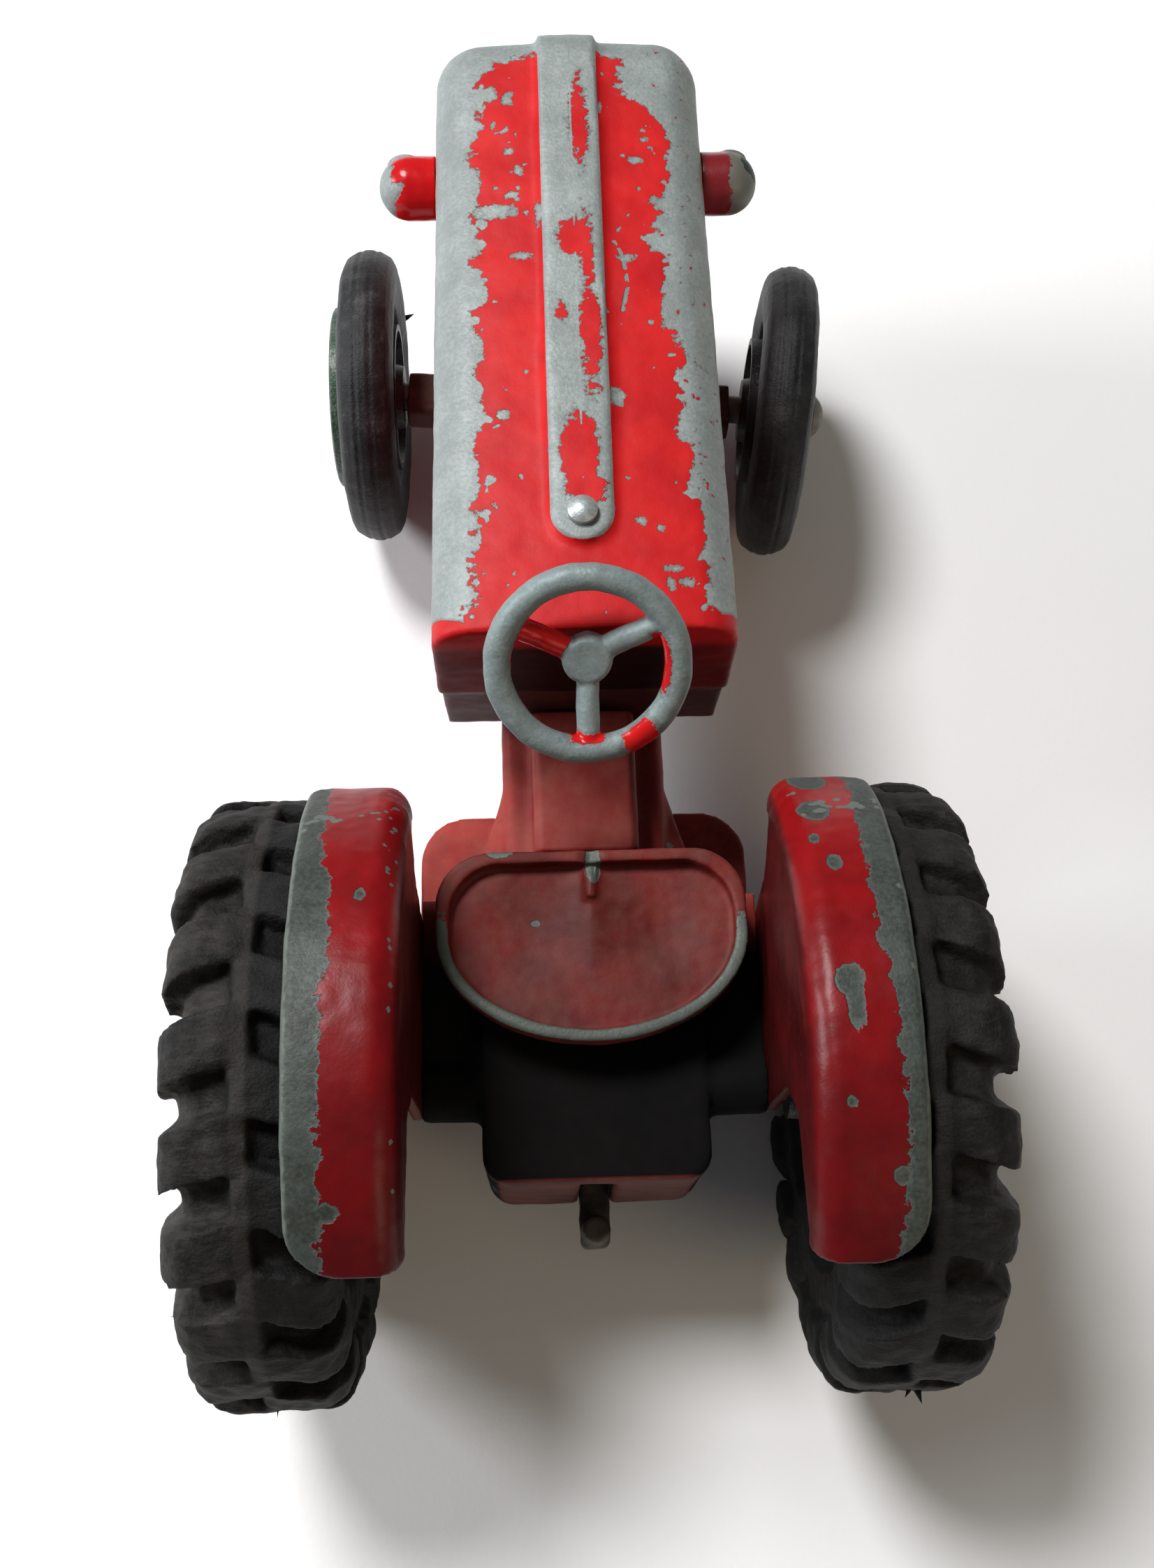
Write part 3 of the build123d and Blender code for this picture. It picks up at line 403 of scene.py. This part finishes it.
def seat_skin():
    """Dusty red pan, bare rim that widens at the back, and a rubbed dimple in front."""
    skin = Skin("seat_enamel")
    worn = SEAT_RIM_Z - skin.z + rag(skin, 0.12, 0.25)
    worn = worn + ramp(skin.y, 5.0, 11.0) * 0.35
    edge = (0.04 - skin.edges() + skin.noise(0.7, 3.0, 0.5, 8.0) * 0.06) * 6.0
    dimple = 0.0 - skin.spots([(0.15, 11.2, 0.42, 1.0), (-4.9, 11.9, 0.8, 0.35), (-3.0, 8.2, 0.25, 0.2)])
    dimple = dimple + rag(skin, 0.1, 0.2, 14.0)
    amount = least(most(worn, edge - 0.3), dimple)
    red = (0.165, 0.010, 0.008)
    deep = (0.085, 0.007, 0.006)
    return painted(skin, amount, red, deep, 0.24, 0.5, (0.085, 0.095, 0.075))


def worn_edges(skin, wear):
    """Above zero where old paint still holds: not on outward edges, nor in small chips."""
    worn = (wear - skin.edges() + skin.noise(0.8, 3.0, 0.5, 8.0) * 0.09) * 6.0
    chips = (0.30 - skin.noise(0.7, 3.0, 0.5, 15.0)) * 3.0
    return least(worn, chips)


def beam_skin():
    """Dark red, darkened as painted shade under the bonnet, dusty, and rubbed off along the outward edges.
    """
    skin = Skin("beam_enamel")
    amount = worn_edges(skin, 0.06)
    red = (0.085, 0.012, 0.010)
    deep = (0.03, 0.006, 0.005)
    return painted(skin, amount, red, deep, 0.45, 0.45, (0.30, 0.29, 0.25))


def chassis_skin():
    """Dusty red casting, black on the deck between the fenders with grime and painted shade."""
    skin = Skin("chassis_enamel")
    amount = worn_edges(skin, 0.07)
    # Black on the deck and the housing top: grime, and painted shade under the seat and fenders.
    grime_and_shade = ramp(skin.y + skin.noise(3.0, 3.0, 0.5, 21.0) * 4.0, 10.5, 6.0)
    # Painted shade: the rear face of the housing is a darker red.
    rear_wall = ramp(skin.y, -4.9, -5.1)
    grime_and_shade = grime_and_shade * (1.0 - rear_wall)
    # Painted light and shade: the tunnel cover is given a different red from the rest of the casting.
    cover = ramp(skin.across, 4.2, 3.9) * ramp(skin.y, 10.8, 11.4)
    clean = blend(rear_wall, blend(cover, (0.36, 0.026, 0.022), (0.25, 0.026, 0.022)), (0.10, 0.014, 0.012))
    red = blend(grime_and_shade, clean, (0.0035, 0.0028, 0.0026))
    clean_deep = blend(rear_wall, (0.21, 0.014, 0.012), (0.06, 0.008, 0.008))
    deep = blend(grime_and_shade, clean_deep, (0.002, 0.0016, 0.0015))
    bare = blend(grime_and_shade, (0.20, 0.19, 0.16), (0.012, 0.011, 0.010))
    return painted(skin, amount, red, deep, (1.0 - grime_and_shade) * 0.32, grime_and_shade * 0.35 + 0.55, bare)


def headlamp_skin(name, bare_end, patches, green=False):
    """Red pod with its paint worn from the tip."""
    skin = Skin(name)
    amount = bare_end - skin.across + rag(skin, 0.7, 0.9)
    amount = least(amount, 0.0 - skin.spots(patches) + rag(skin, 0.3, 0.4, 6.0))
    tone = ZINC
    if green:
        spot = ramp(skin.spot(11.2, 53.6, 0.9, 0.9) + rag(skin, 0.3, 0.4, 9.0), -0.05, 0.05)
        # On the right pod the bare metal is darker than the zinc elsewhere: painted shade.
        tone = blend(spot, (0.17, 0.165, 0.14), (0.020, 0.040, 0.024))
        return painted_over(skin, amount, tone)
    return painted(skin, amount, RED, RED_DEEP, 0.0, 0.18)


def painted_over(skin, amount, tone):
    """Dark red enamel, as painted shade, over a casting whose bare colour is given by nodes."""
    mask = ramp(amount, -0.03, 0.03)
    grain = skin.noise(0.2, 3.0, 0.6, 2.0)
    # The enamel is a dark red: painted shade on the right headlamp.
    colour = blend(mask, tone, (0.20, 0.010, 0.014))
    height = mask + grain * 0.5
    return skin.finish(colour, (1.0 - mask) * 0.3, 0.3 + (1.0 - mask) * 0.2, height, 0.03, mask * 0.2)


def sector(around, middle, half):
    """Above zero nearer than half, in radians, to a direction round the wheel."""
    return half - calc("ABSOLUTE", around - middle)


def steering_skin():
    """Bare ring and spokes with red left on the inner side of the ring and on two spokes."""
    skin = Skin("steering_enamel")
    tilt = math.radians(WHEEL_TILT)
    cy, cz = WHEEL_CENTRE[1], WHEEL_CENTRE[2]
    v = (skin.y - cy) * math.cos(tilt) + (skin.z - cz) * math.sin(tilt)
    w = (skin.z - cz) * math.cos(tilt) - (skin.y - cy) * math.sin(tilt)
    u = skin.x
    out = calc("SQRT", u * u + v * v)
    around = calc("ARCTAN2", v, u)
    inner = 4.2 - out + rag(skin, 0.3, 0.5)
    side = sector(around, 0.05, 0.42)
    ring_red = least(inner, out - 3.6, side * 2.0 + rag(skin, 0.6, 0.5, 5.0))
    patch = least(sector(around, RING_PATCH, 0.20), out - 4.05) * 1.5 + rag(skin, 0.3, 0.3, 8.0)
    glossy = least(sector(around, UPPER_LEFT_SPOKE, 0.45), out - 1.35, 3.95 - out)
    glossy = glossy + rag(skin, 0.2, 0.25, 10.0)
    foot = least(sector(around, LOWER_SPOKE, 0.2), out - 3.7, 4.1 - out) + rag(skin, 0.2, 0.3, 12.0)
    spoke_middle = (out / WHEEL_RING - 1.0) * WHEEL_DISH
    below = least(spoke_middle - 0.28 - w, out - 1.5, 4.3 - out) + rag(skin, 0.2, 0.3, 15.0)
    amount = most(ring_red, patch, glossy, foot, below)
    return painted(skin, amount, RED, RED_DEEP, 0.0, 0.2, (0.23, 0.285, 0.285))


def zinc_skin(name, tone=ZINC, metal=0.45):
    """Bare casting or wire."""
    skin = Skin(name)
    grain = skin.noise(0.15, 3.0, 0.6, 2.0)
    colour = zinc_colour(skin, tone)
    return skin.finish(colour, metal, 0.45 + grain * 0.3, grain, 0.02)


def grimy_metal(name, tone=(0.10, 0.085, 0.07)):
    """Dark steel or zinc with brown grime in patches."""
    skin = Skin(name)
    grain = skin.noise(0.2, 4.0, 0.6, 2.0)
    patch = ramp(skin.noise(1.3, 4.0, 0.6, 6.0), -0.15, 0.2)
    colour = blend(patch, tone, tuple(0.45 * c for c in tone))
    return skin.finish(colour, 0.3, 0.55 + grain * 0.3, grain, 0.03)


def wheel_frame(skin, centre, heading=0.0):
    """Distance along the wheel's axle from its middle, and distance from the axle."""
    turn = math.radians(heading)
    dx = skin.x - centre[0]
    dy = skin.y - centre[1]
    along = dx * math.cos(turn) + dy * math.sin(turn)
    forward = dy * math.cos(turn) - dx * math.sin(turn)
    up = skin.z - centre[2]
    out = calc("SQRT", forward * forward + up * up)
    return along, out


def rear_rubber(name, centre, outside, dusty):
    """Dusty black rubber: pale dust on the outer half, and low pockets on the inner half near black as
    painted shade.
    """
    skin = Skin(name)
    along, out = wheel_frame(skin, centre)
    cloud = skin.noise(2.2, 5.0, 0.65, 1.0)
    grit = skin.noise(0.16, 3.0, 0.7, 4.0)
    fibres = skin.noise(0.3, 4.0, 0.7, 6.0, (0.35, 1.0, 1.0))
    low = ramp(out, 15.2, 14.0)
    outer = ramp(along * outside, -0.4, 1.2)
    dust = ramp(low * 0.3 + cloud * 1.1 + fibres * 0.9 + outer * 0.3, 0.05, 0.85) * (outer * 0.85 + 0.15)
    base = blend(ramp(grit + cloud * 0.6, -0.25, 0.3), (0.0025, 0.0024, 0.0023), (0.011, 0.0100, 0.0092))
    colour = blend(dust * dusty, base, (0.050, 0.044, 0.038))
    # Painted shade: the low parts of the inner half, under the fender, are near black.
    colour = blend(low * (1.0 - outer) * 0.75, colour, (0.003, 0.003, 0.003))
    ridge = ramp(calc("ABSOLUTE", along), 0.55, 0.2) * ramp(out, 15.2, 15.7)
    colour = blend(ridge * (0.35 + fibres * 0.6) * dusty, colour, (0.055, 0.048, 0.043))
    height = grit * 0.8 + fibres * 0.7 + cloud * 0.8
    return skin.finish(colour, 0.0, 0.66 + cloud * 0.3, height, 0.09, 0.0, 0.2)


def front_rubber(name, centre, heading, worn):
    """Smooth tyre with fine ribs round its tread and grey wear on the crown."""
    skin = Skin(name)
    along, out = wheel_frame(skin, centre, heading)
    cloud = skin.noise(1.6, 5.0, 0.6, 1.0)
    grit = skin.noise(0.14, 3.0, 0.7, 4.0)
    streak = calc("SINE", along * 15.0 + cloud * 2.5)
    ribs = streak * ramp(out, 7.6, 8.6)
    rings = calc("SINE", out * 9.0) * ramp(out, 8.4, 7.4)
    crown = ramp(out, 8.2, 9.2)
    wear = ramp(cloud * 1.2 + grit * 0.9 + streak * 0.03, 0.0, 0.5) * crown
    base = blend(ramp(cloud + grit * 0.5, -0.25, 0.3), (0.006, 0.0063, 0.007), (0.020, 0.0205, 0.0215))
    colour = blend(wear * worn, base, (0.085, 0.085, 0.085))
    height = ribs * 0.07 + rings * 0.12 + grit * 0.7 + cloud * 0.6
    return skin.finish(colour, 0.0, 0.5 + cloud * 0.3, height, 0.07, 0.0, 0.25)


def hub_skin(name, face):
    """Thin green paint rubbed down to grey casting outside, near black on the inner side."""
    skin = Skin(name)
    cloud = skin.noise(1.4, 4.0, 0.6, 1.0)
    grain = skin.noise(0.18, 3.0, 0.6, 4.0)
    green = ramp(cloud + grain * 0.5, -0.08, 0.12)
    colour = blend(green, (0.10, 0.12, 0.10), (0.022, 0.062, 0.03))
    colour = blend(ramp(skin.across, face, face - 0.6), colour, (0.012, 0.012, 0.010))
    return skin.finish(colour, 0.15, 0.42 + grain * 0.2, grain + green * 0.5, 0.03)


# ---------------------------------------------------------------- cast and moulded pieces


def mesh_points(mesh):
    flat = np.empty(len(mesh.vertices) * 3, dtype=np.float32)
    mesh.vertices.foreach_get("co", flat)
    return flat.reshape(-1, 3)


def mesh_normals(mesh):
    flat = np.empty(len(mesh.vertices) * 3, dtype=np.float32)
    mesh.vertices.foreach_get("normal", flat)
    return flat.reshape(-1, 3)


def roughen(mesh, layers, seed):
    """Moves every point along its normal by noise; layers are (size, height) in millimetres."""
    points = mesh_points(mesh)
    normals = mesh_normals(mesh)
    shift = Vector((seed * 3.1, seed * 1.7, seed * 2.3))
    lifts = np.zeros(len(points), dtype=np.float32)
    for size, height in layers:
        lifts += np.array([height * noise.noise(Vector(p) / size + shift) for p in points.tolist()])
    points = points + normals * lifts[:, None]
    mesh.vertices.foreach_set("co", points.ravel())


def recast(node, body, voxel, soften, layers, seed, material, shape=None):
    """Replaces a CAD piece by a fine even mesh of the same form, with soft edges and an uneven skin."""
    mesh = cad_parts[node].data.copy()
    mesh.materials.clear()
    mesh.transform(Matrix.Translation((0, ORIGIN_Y, 0)) @ Matrix.Scale(1 / MM, 4))
    piece = bpy.data.objects.new(node + "_skin", mesh)
    bpy.context.scene.collection.objects.link(piece)
    grid = piece.modifiers.new("grid", "REMESH")
    grid.mode = "VOXEL"
    grid.voxel_size = voxel
    if soften:
        smoother = piece.modifiers.new("soften", "SMOOTH")
        smoother.factor = 0.5
        smoother.iterations = soften
    graph = bpy.context.evaluated_depsgraph_get()
    fine = bpy.data.meshes.new_from_object(piece.evaluated_get(graph))
    piece.modifiers.clear()
    piece.data = fine
    if shape:
        points = mesh_points(fine)
        fine.vertices.foreach_set("co", shape(points).astype(np.float32).ravel())
        fine.update()
    if layers:
        roughen(fine, layers, seed)
    fine.transform(Matrix.Scale(MM, 4) @ Matrix.Translation((0, -ORIGIN_Y, 0)))
    fine.polygons.foreach_set("use_smooth", [True] * len(fine.polygons))
    fine.materials.clear()
    fine.materials.append(material)
    fine.update()
    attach(piece, body)
    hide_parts(node)
    return piece


def coat(node, material):
    """Gives a CAD piece a material and leaves its form alone."""
    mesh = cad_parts[node].data
    mesh.materials.clear()
    mesh.materials.append(material)


def burrs(name, body, material, roots):
    """Thin torn tags of moulding flash; each root is a place, a direction, a length and a thickness."""
    verts, faces = [], []
    for index, (place, aim, length, thick) in enumerate(roots):
        aim = Vector(aim).normalized()
        side = aim.orthogonal().normalized()
        other = aim.cross(side)
        start = len(verts)
        for ring in range(6):
            t = ring / 5
            bend = side * (0.35 * length * t * t * math.sin(index * 2.1))
            centre = Vector(place) + aim * (length * (t - 0.25)) + bend
            for k in range(7):
                angle = 2 * math.pi * k / 7
                wide = thick * (1.05 - t) * (1 + 0.45 * noise.noise(Vector((index, k * 1.3, ring * 0.9))))
                offset = side * (wide * math.cos(angle)) + other * (0.55 * wide * math.sin(angle))
                verts.append((centre + offset - Vector((0, ORIGIN_Y, 0))) * MM)
        for ring in range(5):
            for k in range(7):
                a = start + ring * 7 + k
                b = start + ring * 7 + (k + 1) % 7
                faces.append((a, b, b + 7, a + 7))
        faces.append(tuple(range(start + 6, start - 1, -1)))
        faces.append(tuple(range(start + 35, start + 42)))
    mesh = bpy.data.meshes.new(name)
    mesh.from_pydata(verts, [], faces)
    mesh.polygons.foreach_set("use_smooth", [True] * len(faces))
    mesh.materials.append(material)
    piece = bpy.data.objects.new(name, mesh)
    bpy.context.scene.collection.objects.link(piece)
    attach(piece, body)


def seat_hollows(points):
    """Two shallow hollows with a low ridge between them, and a dimple at the front."""
    x, y, z = points.T
    inside = np.clip((21.1 - z) / 0.3, 0, 1) * (z > 19.9)
    hollow = 0.32 * np.exp(-(((np.abs(x) - 3.4) / 2.3) ** 2 + ((y - 7.6) / 2.4) ** 2))
    ridge = 0.22 * np.exp(-((x / 0.7) ** 2)) * np.clip((y - 5.0) / 4.0, 0, 1)
    moved = points.copy()
    moved[:, 2] = z + inside * (ridge - hollow)
    dip = 0.35 * np.exp(-((x / 0.45) ** 2 + ((y - 11.5) / 0.7) ** 2))
    moved[:, 2] -= dip * (z > 20.6)
    return moved


# ---------------------------------------------------------------- camera, floor and light


def make_camera():
    yaw = math.radians(CAMERA_YAW)
    pitch = math.radians(CAMERA_PITCH)
    roll = math.radians(CAMERA_ROLL)
    forward = Vector((math.sin(yaw) * math.cos(pitch), math.cos(yaw) * math.cos(pitch), -math.sin(pitch)))
    level = Vector((math.cos(yaw), -math.sin(yaw), 0))
    upright = level.cross(forward)
    right = math.cos(roll) * level + math.sin(roll) * upright
    up = math.cos(roll) * upright - math.sin(roll) * level
    turn = Matrix((right, up, -forward)).transposed()
    data = bpy.data.cameras.new("camera")
    data.lens = CAMERA_LENS
    data.sensor_fit = "HORIZONTAL"
    data.sensor_width = CAMERA_SENSOR
    data.clip_start = 0.002
    data.clip_end = 20
    camera = bpy.data.objects.new("camera", data)
    camera.matrix_world = Matrix.Translation(CAMERA_PLACE * MM) @ turn.to_4x4()
    bpy.context.scene.collection.objects.link(camera)
    bpy.context.scene.camera = camera


def area_light(name, place, target, size, power, colour):
    data = bpy.data.lights.new(name, "AREA")
    data.shape = "DISK"
    data.size = size
    data.energy = power
    data.color = colour
    light = bpy.data.objects.new(name, data)
    light.location = place
    aim = Vector(target) - Vector(place)
    light.rotation_euler = aim.to_track_quat("-Z", "Y").to_euler()
    bpy.context.scene.collection.objects.link(light)


def make_light():
    area_light("window", (-0.12, 0.13, 0.32), (0, 0.01, 0.01), 0.11, 1.2, (0.99, 0.99, 1.0))
    area_light("side", (-0.32, 0.05, 0.19), (0, 0.01, 0.01), 0.12, 0.9, (0.95, 0.97, 1.0))
    area_light("lamp", (0.22, -0.24, 0.22), (0.06, -0.04, 0), 0.20, 0.22, (1.0, 0.80, 0.52))
    world = bpy.data.worlds.new("room")
    world.use_nodes = True
    background = world.node_tree.nodes["Background"]
    background.inputs["Color"].default_value = (0.95, 0.95, 1.0, 1)
    background.inputs["Strength"].default_value = 0.12
    bpy.context.scene.world = world


def make_floor():
    half = 3.0
    mesh = bpy.data.meshes.new("floor")
    corners = [(-half, -half, 0), (half, -half, 0), (half, half, 0), (-half, half, 0)]
    mesh.from_pydata(corners, [], [(0, 1, 2, 3)])
    floor = bpy.data.objects.new("floor", mesh)
    bpy.context.scene.collection.objects.link(floor)
    skin = Skin("paper")
    cloud = skin.noise(30.0, 3.0, 0.5)
    fibre = skin.noise(0.5, 4.0, 0.6, 2.0)
    tone = ramp(cloud + fibre * 0.3, -0.4, 0.4)
    colour = blend(tone, (0.88, 0.88, 0.875), (0.92, 0.92, 0.92))
    mesh.materials.append(skin.finish(colour, 0.0, 0.9, fibre, 0.02))


make_camera()
make_light()
make_floor()
bpy.context.scene.view_settings.view_transform = "Standard"

# Unevenness of cast and moulded skins, as sizes and heights.
CAST = [(2.2, 0.05), (0.7, 0.02)]
TREAD = [(3.0, 0.2), (1.0, 0.12), (0.4, 0.04)]
SMOOTH = [(2.4, 0.06), (0.6, 0.02)]

recast("bonnet", "chassis", 0.23, 2, CAST, 1, bonnet_skin())
enamel = fender_skin("fender_left_enamel", LEFT_BAND, LEFT_BARE)
recast("fender_left", "chassis", 0.13, 3, CAST, 2, enamel)
enamel = fender_skin("fender_right_enamel", RIGHT_BAND, RIGHT_BARE)
recast("fender_right", "chassis", 0.13, 3, CAST, 3, enamel)
recast("seat", "chassis", 0.12, 3, CAST, 4, seat_skin(), seat_hollows)
recast("chassis", "chassis", 0.25, 1, [(1.4, 0.05)], 5, chassis_skin())
recast("steering_wheel", "steering", 0.1, 4, [(1.3, 0.06), (0.5, 0.02)], 6, steering_skin())
lamp_tip = headlamp_skin("lamp_left_enamel", 10.4, [(-10.3, 54.6, 1.3, 0.5), (-10.4, 52.0, 0.6, 0.4)])
recast("headlamp_left", "chassis", 0.12, 3, CAST, 7, lamp_tip)
lamp_tip = headlamp_skin("lamp_right_enamel", 9.6, [(10.4, 52.4, 0.9, 0.6)], green=True)
recast("headlamp_right", "chassis", 0.12, 3, CAST, 8, lamp_tip)
recast("tow_hook", "chassis", 0.1, 4, [(0.8, 0.06)], 9, grimy_metal("hook_metal"))
enamel = beam_skin()
recast("front_beam", "front_axle", 0.15, 2, CAST, 10, enamel)

rubber = rear_rubber("rear_left_rubber", REAR_LEFT, -1.0, 0.85)
recast("rear_tyre_left", "rear_wheel_left", 0.2, 3, TREAD, 11, rubber)
tags = [
    ((-20.0, -11.3, 24.2), (-1, -0.4, 0.2), 0.9, 0.14),
    ((-19.8, -12.4, 22.6), (-0.9, -0.7, 0.1), 0.7, 0.12),
    ((-19.5, -13.7, 18.9), (-0.7, -1, 0.1), 0.8, 0.13),
    ((-18.2, -15.2, 17.8), (-0.2, -1, 0.2), 0.7, 0.13),
    ((-16.6, -15.8, 16.8), (0.3, -1, 0), 0.6, 0.12),
]
burrs("rear_left_tags", "rear_wheel_left", rubber, tags)
# Less dust on the right tyre than on the left: partly painted shade on the side away from the light.
rubber = rear_rubber("rear_right_rubber", REAR_RIGHT, 1.0, 0.4)
recast("rear_tyre_right", "rear_wheel_right", 0.2, 3, TREAD, 12, rubber)
tags = [
    ((16.0, -15.8, 16.2), (0.25, -1, 0.1), 1.1, 0.34),
    ((15.6, -15.8, 16.6), (-0.3, -1, 0.2), 0.7, 0.25),
]
burrs("rear_right_tags", "rear_wheel_right", rubber, tags)

rubber = front_rubber("front_left_rubber", FRONT_LEFT, FRONT_LEFT_HEADING, 0.7)
recast("front_tyre_left", "front_wheel_left", 0.13, 2, SMOOTH, 13, rubber)
tags = [
    ((-11.15, 55.6, 6.2), (1, 0.3, 0.3), 0.9, 0.26),
    ((-11.15, 55.2, 6.8), (0.8, -0.5, 0.2), 0.6, 0.2),
]
burrs("front_left_tags", "front_wheel_left", rubber, tags)
# Less grey wear on the right tyre than on the left: partly painted shade on the side away from the light.
rubber = front_rubber("front_right_rubber", FRONT_RIGHT, FRONT_RIGHT_HEADING, 0.3)
recast("front_tyre_right", "front_wheel_right", 0.13, 2, SMOOTH, 14, rubber)

for side in ("left", "right"):
    coat("rear_hub_" + side, hub_skin("rear_hub_green_" + side, 15.4 if side == "left" else 14.1))
    coat("front_hub_" + side, hub_skin("front_hub_green_" + side, 14.5 if side == "left" else 15.2))
steel = grimy_metal("old_steel", (0.20, 0.18, 0.155))
for name in ("base_plate", "base_rivets", "bonnet_rivets", "fender_rivets", "kingpin", "kingpin_washer"):
    coat(name, steel)
for name in ("rear_axle_rod", "front_axle_pin_left", "front_axle_pin_right", "steering_column"):
    coat(name, steel)
coat("filler_cap", zinc_skin("cap_zinc", (0.55, 0.60, 0.60), 0.55))
